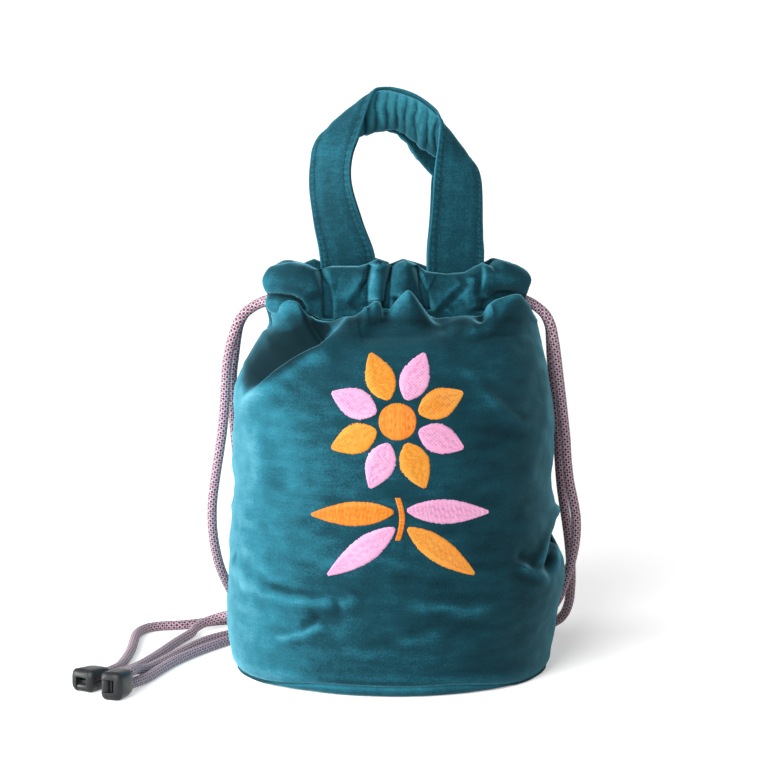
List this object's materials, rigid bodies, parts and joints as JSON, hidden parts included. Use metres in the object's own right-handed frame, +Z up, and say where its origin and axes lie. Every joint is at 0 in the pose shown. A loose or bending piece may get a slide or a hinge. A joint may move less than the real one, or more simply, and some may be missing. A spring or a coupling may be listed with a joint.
{
  "type": "drawstring bag",
  "caption": "Upright round drawstring bag of velveteen with a gathered casing at the mouth, top handles, braided cords and moulded cord ends.",
  "frame": {"origin": "on the standing surface, under the middle of the round base", "axes": "+Z up through the mouth, -Y out of the embroidered front, +X to the right when the front is seen"},
  "size_m": [0.2958, 0.2277, 0.3409],
  "materials": {
    "velveteen": "short cut pile, dull face on with a pale sheen at grazing angles",
    "ruched_velveteen": "short cut pile, gathered into fine wrinkles",
    "lining_cotton": "matt plain weave",
    "grey_board": "matt pressed board",
    "braided_cord": "round diamond braid, slight sheen",
    "moulded_plastic": "injection moulded, satin",
    "light_orange_thread": "satin stitch, silky",
    "deep_orange_thread": "satin stitch, silky",
    "pink_thread": "satin stitch, silky"
  },
  "bodies": {
    "bag": {"body_front_panel": "velveteen", "body_back_panel": "velveteen", "base_panel": "velveteen", "casing_front": "velveteen", "casing_back": "velveteen", "front_handle_left_foot": "velveteen", "front_handle_right_foot": "velveteen", "rear_handle_left_foot": "velveteen", "rear_handle_right_foot": "velveteen", "lining_front_panel": "lining_cotton", "lining_back_panel": "lining_cotton", "lining_base_panel": "lining_cotton", "base_board": "grey_board", "drawstring_left_held": "braided_cord", "drawstring_right_held": "braided_cord", "left_front_strand": "braided_cord", "left_rear_strand": "braided_cord", "right_front_strand": "braided_cord", "right_rear_strand": "braided_cord", "cord_end_a_base": "moulded_plastic", "cord_end_b_base": "moulded_plastic", "embroidered_petal_1": "light_orange_thread", "embroidered_petal_2": "pink_thread", "embroidered_petal_3": "light_orange_thread", "embroidered_petal_4": "pink_thread", "embroidered_petal_5": "light_orange_thread", "embroidered_petal_6": "pink_thread", "embroidered_petal_7": "light_orange_thread", "embroidered_petal_8": "pink_thread", "embroidered_flower_centre": "deep_orange_thread", "embroidered_stem": "deep_orange_thread", "embroidered_leaf_1": "pink_thread", "embroidered_leaf_2": "deep_orange_thread", "embroidered_leaf_3": "light_orange_thread", "embroidered_leaf_4": "pink_thread"},
    "front_handle": {"front_handle_outer": "velveteen", "front_handle_inner": "ruched_velveteen"},
    "rear_handle": {"rear_handle_outer": "velveteen", "rear_handle_inner": "ruched_velveteen"},
    "cord_end_a_cover": {"cord_end_a_cover": "moulded_plastic"},
    "cord_end_b_cover": {"cord_end_b_cover": "moulded_plastic"}
  },
  "joints": [
    {"name": "front_handle_swing", "type": "hinge", "parent": "bag", "child": "front_handle", "pos_m": [0, -0.0147, 0.239], "axis": [1, 0, 0], "range_deg": [0, 60]},
    {"name": "rear_handle_swing", "type": "hinge", "parent": "bag", "child": "rear_handle", "pos_m": [0, 0.0147, 0.239], "axis": [-1, 0, 0], "range_deg": [0, 60]},
    {"name": "cord_end_a_opening", "type": "hinge", "parent": "bag", "child": "cord_end_a_cover", "pos_m": [-0.17661, -0.07516, 0.0028], "axis": [0.8191, -0.5736, 0], "range_deg": [0, 90]},
    {"name": "cord_end_b_opening", "type": "hinge", "parent": "bag", "child": "cord_end_b_cover", "pos_m": [-0.16173, -0.09562, 0.0081], "axis": [0, 0, -1], "range_deg": [0, 90]}
  ]
}
